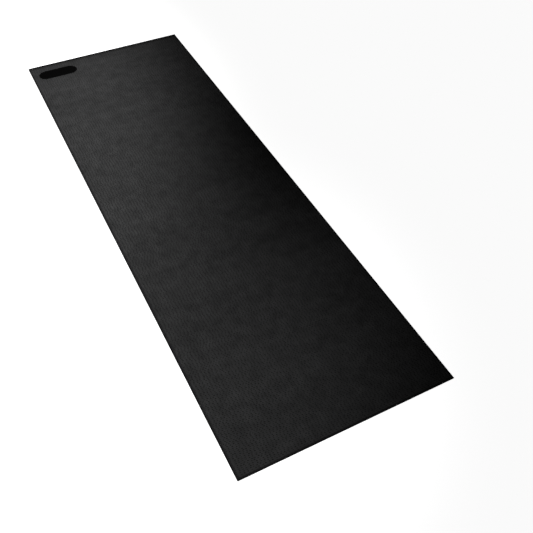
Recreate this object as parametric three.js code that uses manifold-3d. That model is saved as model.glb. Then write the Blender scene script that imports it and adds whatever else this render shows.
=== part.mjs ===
// A long, thin non-slip grip mat lying flat. It is a laminate: an embossed tread skin on top,
// two layers of closed-cell foam with a reinforcing scrim between them, a grippy skin underneath,
// and a plain printed mark near one corner.
//
// Frame: the origin is the centre of the underside, +X runs across the width, +Y along the
// length towards the marked end, and +Z up. All lengths are in millimetres.

import * as THREE from "three";
import { mergeVertices } from "three/addons/utils/BufferGeometryUtils.js";
import Module from "manifold-3d";

// Overall size.
const WIDTH = 610;
const LENGTH = 1880;
const CORNER_RADIUS = 1.5;
const CORNER_STEPS = 4;

// Thickness of each layer. Every value is a multiple of 1/4 mm, so that two layers that touch
// share exactly the same plane.
const UNDERSIDE_SKIN = 0.5;
const LOWER_FOAM = 1.75;
const SCRIM = 0.25;
const UPPER_FOAM = 1;
const TREAD_SKIN = 1.25;

// How far each layer's cut edge stands back from the outline. The tread skin is a slight lip,
// the edge draws in to a notch at the scrim, and the lower foam bulges out again beneath it.
const TREAD_SETBACK = 0;
const UPPER_FOAM_SETBACK = 0.5;
const SCRIM_SETBACK = 0.75;
const LOWER_FOAM_SETBACK = 0.5;
const UNDERSIDE_SETBACK = 0.75;

// The printed mark is a plain bar with round ends, set flush into the tread skin.
const MARK_LENGTH = 146;
const MARK_BREADTH = 56;
const MARK_FILM = 0.25;
const MARK_TO_SIDE = 25;
const MARK_TO_END = 45;
const MARK_CLEARANCE = 0.3;
const MARK_STEPS = 16;

const wasm = await Module();
wasm.setup();

function roundedRectangle(width, length, radius) {
  const x = width / 2;
  const y = length / 2;
  const shape = new THREE.Shape();
  shape.moveTo(-x + radius, -y);
  shape.lineTo(x - radius, -y);
  shape.absarc(x - radius, -y + radius, radius, -Math.PI / 2, 0, false);
  shape.lineTo(x, y - radius);
  shape.absarc(x - radius, y - radius, radius, 0, Math.PI / 2, false);
  shape.lineTo(-x + radius, y);
  shape.absarc(-x + radius, y - radius, radius, Math.PI / 2, Math.PI, false);
  shape.lineTo(-x, -y + radius);
  shape.absarc(-x + radius, -y + radius, radius, Math.PI, Math.PI * 1.5, false);
  return shape;
}

function roundEndedBar(length, breadth) {
  const radius = breadth / 2;
  const reach = length / 2 - radius;
  const shape = new THREE.Shape();
  shape.absarc(reach, 0, radius, -Math.PI / 2, Math.PI / 2, false);
  shape.absarc(-reach, 0, radius, Math.PI / 2, Math.PI * 1.5, false);
  return shape;
}

function plate(shape, thickness, bottom, curveSegments) {
  const geometry = new THREE.ExtrudeGeometry(shape, {
    depth: thickness,
    bevelEnabled: false,
    curveSegments,
  });
  return geometry.translate(0, 0, bottom);
}

function layerPlate(thickness, bottom, setback) {
  const outline = roundedRectangle(WIDTH - 2 * setback, LENGTH - 2 * setback, CORNER_RADIUS);
  return plate(outline, thickness, bottom, CORNER_STEPS);
}

function toSolid(geometry) {
  const bare = geometry.clone();
  bare.deleteAttribute("normal");
  bare.deleteAttribute("uv");
  const welded = mergeVertices(bare);
  const mesh = new wasm.Mesh({
    numProp: 3,
    vertProperties: new Float32Array(welded.attributes.position.array),
    triVerts: new Uint32Array(welded.index.array),
  });
  return new wasm.Manifold(mesh);
}

function toGeometry(solid) {
  const mesh = solid.getMesh();
  const geometry = new THREE.BufferGeometry();
  geometry.setAttribute("position", new THREE.BufferAttribute(mesh.vertProperties, 3));
  geometry.setIndex(new THREE.BufferAttribute(mesh.triVerts, 1));
  geometry.computeVertexNormals();
  return geometry;
}

function markPlate(clearance, thickness, bottom) {
  const outline = roundEndedBar(MARK_LENGTH + 2 * clearance, MARK_BREADTH + 2 * clearance);
  const x = -WIDTH / 2 + MARK_TO_SIDE + MARK_LENGTH / 2;
  const y = LENGTH / 2 - MARK_TO_END - MARK_BREADTH / 2;
  return plate(outline, thickness, bottom, MARK_STEPS).translate(x, y, 0);
}

function treadSkin(bottom) {
  const skin = toSolid(layerPlate(TREAD_SKIN, bottom, TREAD_SETBACK));
  const recess = toSolid(markPlate(MARK_CLEARANCE, TREAD_SKIN, bottom + TREAD_SKIN - MARK_FILM));
  return toGeometry(skin.subtract(recess));
}

function namedMesh(name, geometry, color, roughness) {
  const material = new THREE.MeshStandardMaterial({ color, roughness, metalness: 0 });
  const mesh = new THREE.Mesh(geometry, material);
  mesh.name = name;
  return mesh;
}

const lowerFoamBottom = UNDERSIDE_SKIN;
const scrimBottom = lowerFoamBottom + LOWER_FOAM;
const upperFoamBottom = scrimBottom + SCRIM;
const treadBottom = upperFoamBottom + UPPER_FOAM;
const top = treadBottom + TREAD_SKIN;

const undersideSkin = layerPlate(UNDERSIDE_SKIN, 0, UNDERSIDE_SETBACK);
const lowerFoam = layerPlate(LOWER_FOAM, lowerFoamBottom, LOWER_FOAM_SETBACK);
const scrim = layerPlate(SCRIM, scrimBottom, SCRIM_SETBACK);
const upperFoam = layerPlate(UPPER_FOAM, upperFoamBottom, UPPER_FOAM_SETBACK);
const cornerMark = markPlate(0, MARK_FILM, top - MARK_FILM);

const mat = new THREE.Group();
mat.add(namedMesh("underside_grip_skin", undersideSkin, 0x111112, 0.85));
mat.add(namedMesh("lower_foam_cushion", lowerFoam, 0x0c0c0d, 0.95));
mat.add(namedMesh("reinforcing_scrim", scrim, 0x3a3a3a, 0.8));
mat.add(namedMesh("upper_foam_cushion", upperFoam, 0x0c0c0d, 0.95));
mat.add(namedMesh("tread_skin", treadSkin(treadBottom), 0x161617, 0.6));
mat.add(namedMesh("corner_mark", cornerMark, 0x030303, 0.7));

export default mat;
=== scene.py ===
"""A long, thin non-slip grip mat lying flat on a pale floor.

The mat is a laminate. Each layer is a piece of its own, built around the CAD frame: an embossed
tread skin, upper foam, a laid scrim of yarns, lower foam, an underside skin, and a printed mark.
Lengths are in metres. +X runs across the mat, +Y along it towards the marked end, +Z up.
"""

import math

import bmesh
import bpy
import numpy as np
from mathutils import Matrix, Vector


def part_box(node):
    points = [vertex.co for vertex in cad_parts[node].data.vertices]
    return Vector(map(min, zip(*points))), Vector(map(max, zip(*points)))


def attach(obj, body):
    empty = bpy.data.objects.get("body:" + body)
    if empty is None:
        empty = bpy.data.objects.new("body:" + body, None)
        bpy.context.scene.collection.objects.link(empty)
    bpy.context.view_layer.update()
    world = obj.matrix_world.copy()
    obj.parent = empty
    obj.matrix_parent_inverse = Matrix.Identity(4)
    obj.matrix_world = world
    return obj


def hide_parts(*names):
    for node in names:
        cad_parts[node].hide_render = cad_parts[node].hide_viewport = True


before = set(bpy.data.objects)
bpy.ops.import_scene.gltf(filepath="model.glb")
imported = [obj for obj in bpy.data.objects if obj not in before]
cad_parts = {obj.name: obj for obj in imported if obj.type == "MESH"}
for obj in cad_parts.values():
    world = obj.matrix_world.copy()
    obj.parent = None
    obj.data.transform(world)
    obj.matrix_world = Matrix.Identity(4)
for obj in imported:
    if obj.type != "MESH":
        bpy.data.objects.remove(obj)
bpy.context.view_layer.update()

# ---------------------------------------------------------------- sizes, from the frame
MM = 0.001
TREAD_LOW, TREAD_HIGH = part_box("tread_skin")
UPPER_LOW, UPPER_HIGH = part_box("upper_foam_cushion")
SCRIM_LOW, SCRIM_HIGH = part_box("reinforcing_scrim")
LOWER_LOW, LOWER_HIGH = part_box("lower_foam_cushion")
UNDER_LOW, UNDER_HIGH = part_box("underside_grip_skin")
MARK_LOW, MARK_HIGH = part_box("corner_mark")
WIDTH = TREAD_HIGH[0] - TREAD_LOW[0]
LENGTH = TREAD_HIGH[1] - TREAD_LOW[1]
TOP = TREAD_HIGH[2]

# The embossed pattern: ridges run across the mat in shallow waves. Once per wave a lens-shaped pit
# lies between two ridges, and between the pits they join in a shallow groove. Its sizes are shares
# of one ridge's pitch along the mat, of one wave across it, and of the relief's depth.
RIDGES = 392
WAVES = 68
STEPS_PER_RIDGE = 4
STEPS_PER_WAVE = 4
RELIEF_DEPTH = 1.15 * MM
WAVE_SWING = 0.12
FIRST_PIT = 0.75
FIRST_CREST = -0.25
PIT_HALF_WIDTH = 0.38
PIT_HALF_LENGTH = 0.38
PIT_FLOOR = 0.3
GROOVE_DEPTH = 0.35
CREST_DIP = 0.12

# The moulding is a little uneven: each pit is off its place and its size by up to these shares, and
# so is the place of each whole row of pits.
PIT_SHIFT = 0.16
PIT_SIZE_CHANGE = 0.1
ROW_SHIFT = 0.22

# At the tread's edge the surface rolls down and the relief gets shallower, and at both ends of the
# mat the ridges run straight. The cut side below sticks out in a lip, part of the way up.
EDGE_ROLL = 0.3 * MM
EDGE_ROLL_WIDTH = 3.5 * MM
EDGE_RELIEF = 0.65
STRAIGHT_RIDGES = 1.5
EDGE_INSET = 0.15 * MM
LIP_HEIGHT = 0.5

# The cut edges of the layers below the tread. A profile runs upwards, as distances in from the
# outline in millimetres and shares of the layer's height.
OUTLINE_STEP = 6 * MM
CORNER_RADIUS = 1.5 * MM
CORNER_POINTS = 5
UPPER_FOAM_PROFILE = [(0.44, 0.3), (0.3, 0.7), (0.22, 1)]
LOWER_FOAM_PROFILE = [(0.42, 0), (0.3, 0.2), (0.25, 0.4), (0.25, 0.6), (0.32, 0.78), (0.44, 0.93)]
UNDERSIDE_PROFILE = [(1.25, 0), (0.85, 0.14), (0.6, 0.5), (0.45, 1)]
FOAM_UNEVENNESS = 0.06 * MM
UNDERSIDE_UNEVENNESS = 0.04 * MM

# The unevenness of a cut edge is a sum of waves: size, waves round the mat, and twist per metre up.
CUT_WAVES = [(1, 37, 900), (0.6, 91, 1700), (0.4, 203, 2600)]

# The two foams meet round the mat's edge, over the ends of the scrim's yarns.
SEAM_INSET = 0.55 * MM
SEAM_DROP = 0.12 * MM

# The scrim's yarns. The outermost ones stay at least OUTERMOST_YARN in from the mat's outline.
YARN_PITCH = 5 * MM
YARN_WIDTH = 0.9 * MM
YARN_SIDES = 8
YARN_END_INSET = 0.5 * MM
OUTERMOST_YARN = 3 * MM

# The printed mark's film of ink, whose top is this far above the embossed surface. Its round ends
# are cut in steps of this many degrees.
INK_TOP = 0.03 * MM
INK_THICKNESS = 0.02 * MM
MARK_CUT_ANGLE = 6

# Colours of the materials. Each material varies from a dark one to a light one, and the tread has
# others for its rim, its pits and its cut side. The rim's and the pits' colours are painted shade.
TREAD_DARK = (0.021, 0.021, 0.0213)
TREAD_LIGHT = (0.042, 0.042, 0.0426)
TREAD_RIM_SHADE = (0.002, 0.002, 0.002)
TREAD_PIT_SHADE = (0.006, 0.006, 0.006)
TREAD_CUT = (0.0015, 0.0015, 0.0016)
INK_DARK = (0.0015, 0.0015, 0.0015)
INK_LIGHT = (0.003, 0.003, 0.003)
FOAM_DARK = (0.0012, 0.0012, 0.0013)
FOAM_LIGHT = (0.0055, 0.0055, 0.0058)
YARN_DARK = (0.03, 0.03, 0.031)
YARN_LIGHT = (0.10, 0.10, 0.102)
UNDERSIDE_DARK = (0.004, 0.004, 0.0042)
UNDERSIDE_LIGHT = (0.008, 0.008, 0.0083)

# How much of the tread's variation comes in bands, and how much rougher its dark places are.
TREAD_BANDING = 0.3
TREAD_DULLING = 0.33

# The floor, a little below the mat.
FLOOR_REACH = 30
FLOOR_HEIGHT = -0.3 * MM
FLOOR_GREY = 0.8
FLOOR_GLOW = 0.94

# The studio light is dim and even, with two soft lamps. The near lamp stands beyond the near end and
# lights that half. The far lamp hangs over the far end and leans towards the mat's -X side, so that
# the +X side falls off into the dark. Their cones are in degrees, and their powers in watts.
AMBIENT = 0.02
LAMP_RADIUS = 0.25
NEAR_LAMP = dict(place=(-0.6, -1.7, 2.3), target=(-0.35, -0.55, 0), cone=32, blend=0.8, power=147)
FAR_LAMP = dict(place=(0.05, 0.9, 1.4), target=(-1.5, 0.9, 0), cone=120, blend=0.45, power=85)

# The camera looks at its target from beyond the near end, a little to the -X side. Angles are in
# degrees, and the lens and the sensor's width in millimetres.
CAMERA_TARGET = (0.0537, -0.3864, 0.0)
CAMERA_DISTANCE = 1.976
CAMERA_AZIMUTH = -28.25
CAMERA_ELEVATION = 48.0
CAMERA_ROLL = 1.36
CAMERA_SENSOR = 36
CAMERA_LENS = 45.91


# ---------------------------------------------------------------- the embossed pattern
def smoothstep(start, end, value):
    """0 at start and 1 at end, whichever of them is the greater."""
    t = np.clip((value - start) / (end - start), 0, 1)
    return t * t * (3 - 2 * t)


def edge_distance(x, y):
    """How far a place on the mat is from its nearest edge."""
    return np.minimum(WIDTH / 2 - np.abs(x), LENGTH / 2 - np.abs(y))


def uneven(seed, *shape):
    """Random numbers from -1 to 1."""
    return np.random.default_rng(seed).uniform(-1, 1, shape)


# By ridge and by wave, with a margin round the mat for the pits that reach over its edge.
PIT_SHIFTS = uneven(1, RIDGES + 3, WAVES + 3)
PIT_SIZES = uneven(2, RIDGES + 3, WAVES + 3)
ROW_SHIFTS = uneven(3, RIDGES + 3)


def pattern(ridge, wave):
    """The pattern at a place, with crests at whole ridges and pits at whole waves.

    Returns how far the surface lies under its crests, from 0 to 1, and how far the place is inside a
    pit, from 0 to 1.
    """
    row = np.floor(ridge).astype(int) + 1
    place = wave - ROW_SHIFT * ROW_SHIFTS[row]
    column = np.round(place).astype(int) + 1
    size = 1 + PIT_SIZE_CHANGE * PIT_SIZES[row, column]
    across = np.abs(ridge - np.floor(ridge) - 0.5)
    along = np.abs(place - np.round(place) - PIT_SHIFT * PIT_SHIFTS[row, column])
    reach = (across / PIT_HALF_WIDTH) ** 2 + (along / PIT_HALF_LENGTH) ** 2
    pit = smoothstep(1, PIT_FLOOR, reach / size ** 2)
    groove = GROOVE_DEPTH * smoothstep(0.5, 0, across)
    dip = CREST_DIP * smoothstep(0.5, 0, np.abs(wave - np.round(wave)))
    shallow = groove + (1 - groove) * dip
    return shallow + (1 - shallow) * pit, pit


def relief_grid(columns, rows):
    """The embossed surface at whole steps of the pattern, as x, y, z and the share of pit.

    columns and rows count grid steps from the mat's -X side and -Y end.
    """
    side = columns / STEPS_PER_WAVE
    end = rows / STEPS_PER_RIDGE
    wave = side - FIRST_PIT
    ridge = end - FIRST_CREST
    x = -WIDTH / 2 + side / WAVES * WIDTH
    y = -LENGTH / 2 + end / RIDGES * LENGTH
    depth, pit = pattern(ridge, wave)
    inside = smoothstep(0, EDGE_ROLL_WIDTH, edge_distance(x, y))
    depth = RELIEF_DEPTH * depth * (EDGE_RELIEF + (1 - EDGE_RELIEF) * inside)
    z = TOP - depth - EDGE_ROLL * (1 - inside)
    from_ends = smoothstep(0, STRAIGHT_RIDGES, end) * smoothstep(0, STRAIGHT_RIDGES, RIDGES - end)
    swing = -WAVE_SWING * np.sin(2 * np.pi * wave) * from_ends
    y = y + swing * LENGTH / RIDGES
    return x * (1 - 2 * EDGE_INSET / WIDTH), y * (1 - 2 * EDGE_INSET / LENGTH), z, pit


# ---------------------------------------------------------------- mesh helpers
def new_mesh(name, points, faces):
    mesh = bpy.data.meshes.new(name)
    mesh.from_pydata(np.asarray(points).tolist(), [], faces)
    mesh.validate()
    return mesh


def add_piece(mesh, material, node, smooth_angle=55):
    """Makes an object of a mesh that rides on the mat and stands for one CAD node."""
    mesh.materials.append(material)
    mesh.shade_smooth()
    mesh.set_sharp_from_angle(angle=math.radians(smooth_angle))
    piece = bpy.data.objects.new(mesh.name, mesh)
    bpy.context.scene.collection.objects.link(piece)
    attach(piece, "root")
    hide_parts(node)
    return piece


def grid_faces(columns, rows):
    """The quads of a grid of points, row by row."""
    stride = columns + 1
    start = (np.arange(rows)[:, None] * stride + np.arange(columns)).ravel()
    return np.stack([start, start + 1, start + 1 + stride, start + stride], 1).tolist()


def grid_boundary(columns, rows):
    """The grid's outer points in order, anticlockwise seen from above."""
    stride = columns + 1
    near = np.arange(columns)
    right = columns + stride * np.arange(rows)
    far = stride * rows + np.arange(columns, 0, -1)
    left = stride * np.arange(rows, 0, -1)
    return np.concatenate([near, right, far, left])


def band_faces(lower, upper):
    """Quads that join two closed rings of points, facing out when the rings run anticlockwise."""
    return np.stack([lower, np.roll(lower, -1), np.roll(upper, -1), upper], 1).tolist()


def ring_faces(lower_start, upper_start, count):
    """The same for rings whose points are numbered in order."""
    here = np.arange(count)
    return band_faces(lower_start + here, upper_start + here)


def cap_faces(ring_start, centre, count, facing_up):
    """Triangles that close a ring of points with a point in its middle."""
    here = np.arange(count)
    after = (here + 1) % count
    first, second = (here, after) if facing_up else (after, here)
    return np.stack([ring_start + first, ring_start + second, np.full(count, centre)], 1).tolist()


def outline():
    """Points anticlockwise round the mat's outline, with round corners."""
    x, y = WIDTH / 2 - CORNER_RADIUS, LENGTH / 2 - CORNER_RADIUS
    corners = [(x, -y, -90), (x, y, 0), (-x, y, 90), (-x, -y, 180)]
    points = []
    for index, (cx, cy, start) in enumerate(corners):
        turn = np.radians(start + np.linspace(0, 90, CORNER_POINTS))
        arc = np.stack([cx + CORNER_RADIUS * np.cos(turn), cy + CORNER_RADIUS * np.sin(turn)], 1)
        next_x, next_y, next_start = corners[(index + 1) % 4]
        end = np.array([next_x + CORNER_RADIUS * math.cos(math.radians(next_start)),
                        next_y + CORNER_RADIUS * math.sin(math.radians(next_start))])
        count = max(2, round(float(np.linalg.norm(end - arc[-1])) / OUTLINE_STEP))
        along = np.linspace(0, 1, count + 1)[1:-1, None]
        points += [arc, arc[-1] + along * (end - arc[-1])]
    return np.concatenate(points)


def ring(flat, inset, height, unevenness=0.0):
    """The outline moved inwards and set at a height, with a small unevenness of the cut."""
    half = np.array([WIDTH / 2, LENGTH / 2])
    along = np.arctan2(flat[:, 1] / LENGTH, flat[:, 0] / WIDTH)
    waves = sum(size * np.sin(count * along + twist * height) for size, count, twist in CUT_WAVES)
    moved = inset + unevenness * waves[:, None]
    return np.column_stack([flat * (half - moved) / half, np.broadcast_to(height, len(flat))])


def rings(profile, low, high):
    """A profile's rings for a layer between two heights, as (inset, height)."""
    return [(inset * MM, low + share * (high - low)) for inset, share in profile]


def slab(cut, unevenness):
    """A closed slab from rings (inset, height), from the rim of its underside round to its top."""
    flat = outline()
    count = len(flat)
    points = [ring(flat, inset, height, unevenness) for inset, height in cut]
    faces = []
    for level in range(len(cut) - 1):
        faces += ring_faces(level * count, (level + 1) * count, count)
    last = len(cut) * count
    points += [np.array([[0, 0, cut[0][1]], [0, 0, cut[-1][1]]])]
    faces += cap_faces(0, last, count, False)
    faces += cap_faces(last - count, last + 1, count, True)
    return np.concatenate(points), faces


# ---------------------------------------------------------------- material helpers
class Nodes:
    """A material and short ways to add its nodes."""

    def __init__(self, name):
        self.material = bpy.data.materials.new(name)
        self.material.use_nodes = True
        self.tree = self.material.node_tree
        self.shader = self.tree.nodes["Principled BSDF"]
        self.place = self.tree.nodes.new("ShaderNodeTexCoord").outputs["Object"]

    def node(self, kind, **settings):
        made = self.tree.nodes.new(kind)
        for key, value in settings.items():
            setattr(made, key, value)
        return made

    def link(self, source, target):
        self.tree.links.new(source, target)

    def scaled(self, scale):
        mapping = self.node("ShaderNodeMapping")
        mapping.inputs["Scale"].default_value = scale
        self.link(self.place, mapping.inputs["Vector"])
        return mapping.outputs["Vector"]

    def noise(self, scale, detail, roughness, stretch=(1, 1, 1)):
        texture = self.node("ShaderNodeTexNoise")
        texture.inputs["Scale"].default_value = scale
        texture.inputs["Detail"].default_value = detail
        texture.inputs["Roughness"].default_value = roughness
        self.link(self.scaled(stretch), texture.inputs["Vector"])
        return texture.outputs["Fac"]

    def cells(self, scale):
        """Distance from the middle of the nearest cell of a random foam."""
        texture = self.node("ShaderNodeTexVoronoi", feature="F1")
        texture.inputs["Scale"].default_value = scale
        self.link(self.place, texture.inputs["Vector"])
        return texture.outputs["Distance"]

    def attribute(self, name):
        return self.node("ShaderNodeAttribute", attribute_name=name).outputs["Fac"]

    def maths(self, operation, first, second=0.0):
        made = self.node("ShaderNodeMath", operation=operation)
        for socket, value in zip(made.inputs, (first, second)):
            if isinstance(value, (int, float)):
                socket.default_value = value
            else:
                self.link(value, socket)
        return made.outputs[0]

    def spread(self, value, low, high, from_low=0.0, from_high=1.0):
        """The value's range from from_low to from_high, stretched to run from low to high."""
        made = self.node("ShaderNodeMapRange")
        made.inputs["From Min"].default_value = from_low
        made.inputs["From Max"].default_value = from_high
        made.inputs["To Min"].default_value = low
        made.inputs["To Max"].default_value = high
        self.link(value, made.inputs["Value"])
        return made.outputs["Result"]

    def mixed(self, share, first, second):
        """A mix of two colours. The mix node keeps its colour sockets at places 6, 7 and 2."""
        made = self.node("ShaderNodeMix", data_type="RGBA")
        for socket, value in ((made.inputs[6], first), (made.inputs[7], second)):
            if isinstance(value, tuple):
                socket.default_value = (*value, 1)
            else:
                self.link(value, socket)
        self.link(share, made.inputs[0])
        return made.outputs[2]

    def bump(self, height, distance, strength=1.0, under=None):
        made = self.node("ShaderNodeBump")
        made.inputs["Distance"].default_value = distance
        made.inputs["Strength"].default_value = strength
        self.link(height, made.inputs["Height"])
        if under is not None:
            self.link(under, made.inputs["Normal"])
        return made.outputs["Normal"]

    def finish(self, colour, roughness, normal, specular):
        self.link(colour, self.shader.inputs["Base Color"])
        self.link(roughness, self.shader.inputs["Roughness"])
        self.link(normal, self.shader.inputs["Normal"])
        self.shader.inputs["Specular IOR Level"].default_value = specular
        return self.material

    def painted_rim_shade(self, start, end, marked_end):
        """1 at the mat's outline, falling to 0 further in: marked_end times as far in at that end."""
        parts = self.node("ShaderNodeSeparateXYZ")
        self.link(self.place, parts.inputs[0])
        from_side = self.maths("SUBTRACT", WIDTH / 2, self.maths("ABSOLUTE", parts.outputs[0]))
        from_near = self.maths("ADD", LENGTH / 2, parts.outputs[1])
        from_far = self.maths("SUBTRACT", LENGTH / 2, parts.outputs[1])
        from_end = self.maths("MINIMUM", from_near, self.maths("DIVIDE", from_far, marked_end))
        return self.spread(self.maths("MINIMUM", from_side, from_end), 1, 0, start, end)


# ---------------------------------------------------------------- materials
def tread_material():
    """Satin-matte black foamed skin: moulded grain, faint press bands, and painted shade at the rim and
    pits.

    The mesh says where the pits are, in pit, and which faces are the cut side, in cut.
    """
    n = Nodes("tread_skin_black")
    bands = n.noise(scale=9, detail=2, roughness=0.6, stretch=(0.2, 1, 1))
    mottle = n.noise(scale=26, detail=4, roughness=0.7)
    grain = n.noise(scale=1500, detail=2, roughness=0.6)
    banding = n.maths("MULTIPLY", bands, TREAD_BANDING)
    tone = n.maths("ADD", banding, n.maths("MULTIPLY", mottle, 1 - TREAD_BANDING))
    # Painted shade: darker towards the outline, three times as far in at the marked end, and duller.
    painted_rim_shade = n.painted_rim_shade(start=1 * MM, end=8 * MM, marked_end=3)
    # Painted shade: the colour darkens towards each pit's floor, where shade falls.
    pit = n.spread(n.attribute("pit"), low=0, high=1, from_low=0.5)
    cut = n.attribute("cut")
    lightness = n.spread(tone, low=0, high=1, from_low=0.34, from_high=0.66)
    colour = n.mixed(lightness, TREAD_DARK, TREAD_LIGHT)
    colour = n.mixed(painted_rim_shade, colour, TREAD_RIM_SHADE)
    colour = n.mixed(pit, colour, TREAD_PIT_SHADE)
    colour = n.mixed(cut, colour, TREAD_CUT)
    satin = n.spread(tone, low=0.66, high=0.58, from_low=0.34, from_high=0.66)
    dull = n.maths("MAXIMUM", n.maths("MAXIMUM", pit, painted_rim_shade), cut)
    roughness = n.maths("ADD", satin, n.maths("MULTIPLY", dull, TREAD_DULLING))
    normal = n.bump(grain, distance=0.06 * MM, strength=0.8)
    return n.finish(colour, roughness, normal, specular=0.2)


def ink_material():
    """Flat black ink with a fine dry grain."""
    n = Nodes("mark_ink_black")
    grain = n.noise(scale=900, detail=2, roughness=0.5)
    colour = n.mixed(grain, INK_DARK, INK_LIGHT)
    roughness = n.spread(grain, low=0.72, high=0.86)
    return n.finish(colour, roughness, n.bump(grain, distance=0.03 * MM), specular=0.01)


def foam_material():
    """Cut closed-cell foam: small dark cells with lighter walls, and broader rough patches."""
    n = Nodes("cut_foam_black")
    cells = n.cells(scale=2400)
    patches = n.noise(scale=160, detail=3, roughness=0.6)
    walls = n.spread(cells, low=0, high=1, from_low=0.1, from_high=0.6)
    colour = n.mixed(walls, FOAM_DARK, FOAM_LIGHT)
    roughness = n.spread(patches, low=0.82, high=0.97, from_low=0.3, from_high=0.7)
    broad = n.bump(patches, distance=0.15 * MM, strength=0.5)
    normal = n.bump(cells, distance=0.18 * MM, strength=0.9, under=broad)
    return n.finish(colour, roughness, normal, specular=0.3)


def yarn_material():
    """Grey yarn with fine filaments."""
    n = Nodes("scrim_yarn_grey")
    filaments = n.noise(scale=2600, detail=2, roughness=0.5, stretch=(1, 1, 0.3))
    colour = n.mixed(filaments, YARN_DARK, YARN_LIGHT)
    roughness = n.spread(filaments, low=0.55, high=0.8)
    return n.finish(colour, roughness, n.bump(filaments, distance=0.05 * MM), specular=0.4)


def underside_material():
    """Matte black skin with a fine pebble and a finer grain over it."""
    n = Nodes("underside_skin_black")
    pebble = n.cells(scale=900)
    grain = n.noise(scale=1800, detail=2, roughness=0.6)
    patches = n.noise(scale=30, detail=3, roughness=0.6)
    lightness = n.spread(patches, low=0, high=1, from_low=0.3, from_high=0.7)
    colour = n.mixed(lightness, UNDERSIDE_DARK, UNDERSIDE_LIGHT)
    roughness = n.spread(pebble, low=0.7, high=0.9, from_high=0.7)
    pebbled = n.bump(pebble, distance=0.15 * MM, strength=0.8)
    normal = n.bump(grain, distance=0.04 * MM, strength=0.7, under=pebbled)
    return n.finish(colour, roughness, normal, specular=0.4)


def floor_material():
    """A white sweep that glows, so that it stays white under the soft, dim studio light."""
    n = Nodes("studio_floor_white")
    n.shader.inputs["Base Color"].default_value = (FLOOR_GREY, FLOOR_GREY, FLOOR_GREY, 1)
    n.shader.inputs["Roughness"].default_value = 0.9
    n.shader.inputs["Specular IOR Level"].default_value = 0.0
    n.shader.inputs["Emission Color"].default_value = (1, 1, 1, 1)
    n.shader.inputs["Emission Strength"].default_value = FLOOR_GLOW
    return n.material


# ---------------------------------------------------------------- pieces
def tread_shape(columns, rows):
    """The tread skin's points and faces, with the embossed grid first, and each point's share of pit."""
    row, column = np.mgrid[0:rows + 1, 0:columns + 1]
    x, y, z, pit = relief_grid(column.ravel(), row.ravel())
    top = np.stack([x, y, z], 1)
    edge = grid_boundary(columns, rows)
    flat = top[edge, :2] * [WIDTH / (WIDTH - 2 * EDGE_INSET), LENGTH / (LENGTH - 2 * EDGE_INSET)]
    lip = ring(flat, 0, TREAD_LOW[2] + LIP_HEIGHT * (top[edge, 2] - TREAD_LOW[2]))
    base = ring(flat, EDGE_INSET, TREAD_LOW[2])
    count = len(edge)
    lip_start = len(top)
    base_start = lip_start + count
    centre = base_start + count
    faces = grid_faces(columns, rows)
    faces += band_faces(lip_start + np.arange(count), edge)
    faces += ring_faces(base_start, lip_start, count)
    faces += cap_faces(base_start, centre, count, False)
    points = np.concatenate([top, lip, base, [[0, 0, TREAD_LOW[2]]]])
    return points, faces, np.concatenate([pit, np.zeros(len(points) - len(pit))])


def make_tread(material):
    columns, rows = WAVES * STEPS_PER_WAVE, RIDGES * STEPS_PER_RIDGE
    points, faces, pit = tread_shape(columns, rows)
    mesh = new_mesh("embossed_tread_skin", points, faces)
    tread = add_piece(mesh, material, "tread_skin", smooth_angle=80)
    mesh.attributes.new("pit", "FLOAT", "POINT").data.foreach_set("value", pit)
    on_side = np.arange(len(faces)) >= columns * rows
    mesh.attributes.new("cut", "FLOAT", "FACE").data.foreach_set("value", on_side.astype(float))


def make_foam(name, cut, material, node):
    mesh = new_mesh(name, *slab(cut, FOAM_UNEVENNESS))
    foam = add_piece(mesh, material, node)


def make_upper_foam(material):
    low, high = UPPER_LOW[2], UPPER_HIGH[2]
    cut = [(2 * SEAM_INSET, low), (SEAM_INSET, low - SEAM_DROP)] + rings(UPPER_FOAM_PROFILE, low, high)
    make_foam("upper_foam_layer", cut, material, "upper_foam_cushion")


def make_lower_foam(material):
    low, high = LOWER_LOW[2], LOWER_HIGH[2]
    cut = rings(LOWER_FOAM_PROFILE, low, high) + [(SEAM_INSET, high + SEAM_DROP), (2 * SEAM_INSET, high)]
    make_foam("lower_foam_layer", cut, material, "lower_foam_cushion")


def make_underside(material):
    cut = rings(UNDERSIDE_PROFILE, UNDER_LOW[2], UNDER_HIGH[2])
    mesh = new_mesh("underside_skin", *slab(cut, UNDERSIDE_UNEVENNESS))
    skin = add_piece(mesh, material, "underside_grip_skin")


def yarn(start, end, side, height, thickness):
    """A straight flat yarn with round edges, from start to end, as points and faces."""
    turn = np.linspace(0, 2 * np.pi, YARN_SIDES, endpoint=False)
    across = YARN_WIDTH / 2 * np.cos(turn)[:, None] * np.array(side)
    up = height + thickness / 2 * np.sin(turn)
    points = np.concatenate([np.column_stack([np.array(at) + across, up]) for at in (start, end)])
    first_end = list(range(YARN_SIDES))
    second_end = list(range(YARN_SIDES, 2 * YARN_SIDES))
    return points, ring_faces(0, YARN_SIDES, YARN_SIDES) + [first_end[::-1], second_end]


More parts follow.
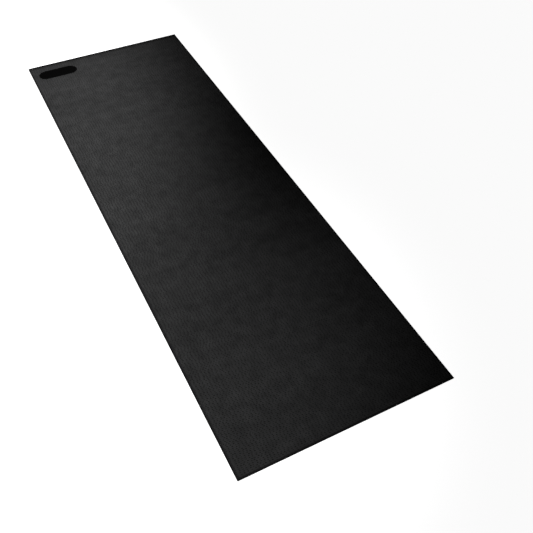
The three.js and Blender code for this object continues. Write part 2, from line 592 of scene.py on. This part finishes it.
def make_scrim(material):
    """A laid scrim: yarns along the mat lie on yarns across it."""
    thickness = (SCRIM_HIGH[2] - SCRIM_LOW[2]) / 2
    reach_x, reach_y = SCRIM_HIGH[0] - YARN_END_INSET, SCRIM_HIGH[1] - YARN_END_INSET
    along = int((WIDTH - 2 * OUTERMOST_YARN) / YARN_PITCH) + 1
    across = int((LENGTH - 2 * OUTERMOST_YARN) / YARN_PITCH) + 1
    upper, lower = SCRIM_HIGH[2] - thickness / 2, SCRIM_LOW[2] + thickness / 2
    yarns = []
    for index in range(along):
        x = (index - (along - 1) / 2) * YARN_PITCH
        yarns.append(yarn((x, reach_y), (x, -reach_y), (1, 0), upper, thickness))
    for index in range(across):
        y = (index - (across - 1) / 2) * YARN_PITCH
        yarns.append(yarn((-reach_x, y), (reach_x, y), (0, 1), lower, thickness))
    faces = []
    for index, (_, its_faces) in enumerate(yarns):
        faces += [[2 * YARN_SIDES * index + corner for corner in face] for face in its_faces]
    mesh = new_mesh("laid_scrim", np.concatenate([points for points, _ in yarns]), faces)
    scrim = add_piece(mesh, material, "reinforcing_scrim")


def pattern_steps(low, high, length, repeats, steps):
    """The first and last grid steps of a stretch of the mat, out to whole repeats beyond both ends."""
    first = math.floor((low + length / 2) / length * repeats - 1)
    last = math.ceil((high + length / 2) / length * repeats + 1)
    return first * steps, last * steps


def embossed_patch():
    """The embossed surface under the printed bar and round it, raised by the ink."""
    left, right = pattern_steps(MARK_LOW[0], MARK_HIGH[0], WIDTH, WAVES, STEPS_PER_WAVE)
    near, far = pattern_steps(MARK_LOW[1], MARK_HIGH[1], LENGTH, RIDGES, STEPS_PER_RIDGE)
    row, column = np.mgrid[near:far + 1, left:right + 1]
    x, y, z, _ = relief_grid(column.ravel(), row.ravel())
    mesh = bmesh.new()
    points = [mesh.verts.new(place) for place in zip(x, y, z + INK_TOP)]
    for face in grid_faces(right - left, far - near):
        mesh.faces.new([points[corner] for corner in face])
    return mesh


def trim_to_bar(mesh):
    """Cuts a mesh, seen from above, to the printed bar's outline, with its round ends."""
    centre = [(MARK_LOW[k] + MARK_HIGH[k]) / 2 for k in (0, 1)]
    radius = (MARK_HIGH[1] - MARK_LOW[1]) / 2
    reach = (MARK_HIGH[0] - MARK_LOW[0]) / 2 - radius
    for turn in np.radians(np.arange(-90, 270, MARK_CUT_ANGLE)):
        side = reach if math.cos(turn) > 0 else -reach
        normal = Vector((math.cos(turn), math.sin(turn), 0))
        place = Vector((centre[0] + side, centre[1], 0)) + normal * radius
        everything = [*mesh.verts, *mesh.edges, *mesh.faces]
        bmesh.ops.bisect_plane(mesh, geom=everything, plane_co=place, plane_no=normal, clear_outer=True)


def close_below(mesh, thickness):
    """Turns an open surface into a thin closed film by adding its underside."""
    shell = bmesh.ops.extrude_face_region(mesh, geom=mesh.faces[:])
    lower = [part for part in shell["geom"] if isinstance(part, bmesh.types.BMVert)]
    for point in lower:
        point.co.z -= thickness
    bmesh.ops.recalc_face_normals(mesh, faces=mesh.faces[:])
    bmesh.ops.triangulate(mesh, faces=[f for f in mesh.faces if len(f.verts) > 4])


def make_mark(material):
    """The printed bar: a thin film of ink that follows the embossed pattern under it."""
    film = embossed_patch()
    trim_to_bar(film)
    close_below(film, INK_THICKNESS)
    mesh = bpy.data.meshes.new("corner_mark_print")
    film.to_mesh(mesh)
    film.free()
    add_piece(mesh, material, "corner_mark", smooth_angle=60)


# ---------------------------------------------------------------- stage, light and camera
def make_floor():
    reach = FLOOR_REACH
    corners = [(-reach, -reach), (reach, -reach), (reach, reach), (-reach, reach)]
    mesh = new_mesh("floor", [(x, y, FLOOR_HEIGHT) for x, y in corners], [(0, 1, 2, 3)])
    mesh.materials.append(floor_material())
    floor = bpy.data.objects.new("floor", mesh)
    bpy.context.scene.collection.objects.link(floor)


def make_world():
    """White to the camera, and dim grey as a light, so that the black mat keeps its depth."""
    world = bpy.data.worlds.new("studio")
    bpy.context.scene.world = world
    world.use_nodes = True
    tree = world.node_tree
    backdrop = tree.nodes["Background"]
    backdrop.inputs["Color"].default_value = (1, 1, 1, 1)
    seen = tree.nodes.new("ShaderNodeLightPath").outputs["Is Camera Ray"]
    strength = tree.nodes.new("ShaderNodeMapRange")
    strength.inputs["To Min"].default_value = AMBIENT
    strength.inputs["To Max"].default_value = 1.0
    tree.links.new(seen, strength.inputs["Value"])
    tree.links.new(strength.outputs["Result"], backdrop.inputs["Strength"])


def make_lamp(name, place, target, cone, blend, power):
    light = bpy.data.lights.new(name, "SPOT")
    light.spot_size = math.radians(cone)
    light.spot_blend = blend
    light.shadow_soft_size = LAMP_RADIUS
    light.energy = power
    lamp = bpy.data.objects.new(name, light)
    lamp.location = place
    lamp.rotation_euler = (Vector(target) - Vector(place)).to_track_quat("-Z", "Y").to_euler()
    bpy.context.scene.collection.objects.link(lamp)


def make_camera():
    azimuth, elevation = math.radians(CAMERA_AZIMUTH), math.radians(CAMERA_ELEVATION)
    roll = math.radians(CAMERA_ROLL)
    towards = Vector((math.sin(azimuth) * math.cos(elevation),
                      -math.cos(azimuth) * math.cos(elevation),
                      math.sin(elevation)))
    right = Vector((0, 0, 1)).cross(towards).normalized()
    up = towards.cross(right)
    tilted = right * math.cos(roll) + up * math.sin(roll)
    axes = Matrix((tilted, towards.cross(tilted), towards)).transposed()
    place = Vector(CAMERA_TARGET) + towards * CAMERA_DISTANCE
    camera = bpy.data.objects.new("camera", bpy.data.cameras.new("camera"))
    camera.matrix_world = Matrix.Translation(place) @ axes.to_4x4()
    camera.data.sensor_width = CAMERA_SENSOR
    camera.data.lens = CAMERA_LENS
    bpy.context.scene.collection.objects.link(camera)
    bpy.context.scene.camera = camera


make_tread(tread_material())
foam = foam_material()
make_upper_foam(foam)
make_scrim(yarn_material())
make_lower_foam(foam)
make_underside(underside_material())
make_mark(ink_material())

make_floor()
make_world()
make_lamp("near_lamp", **NEAR_LAMP)
make_lamp("far_lamp", **FAR_LAMP)
make_camera()
bpy.context.scene.view_settings.view_transform = "Standard"
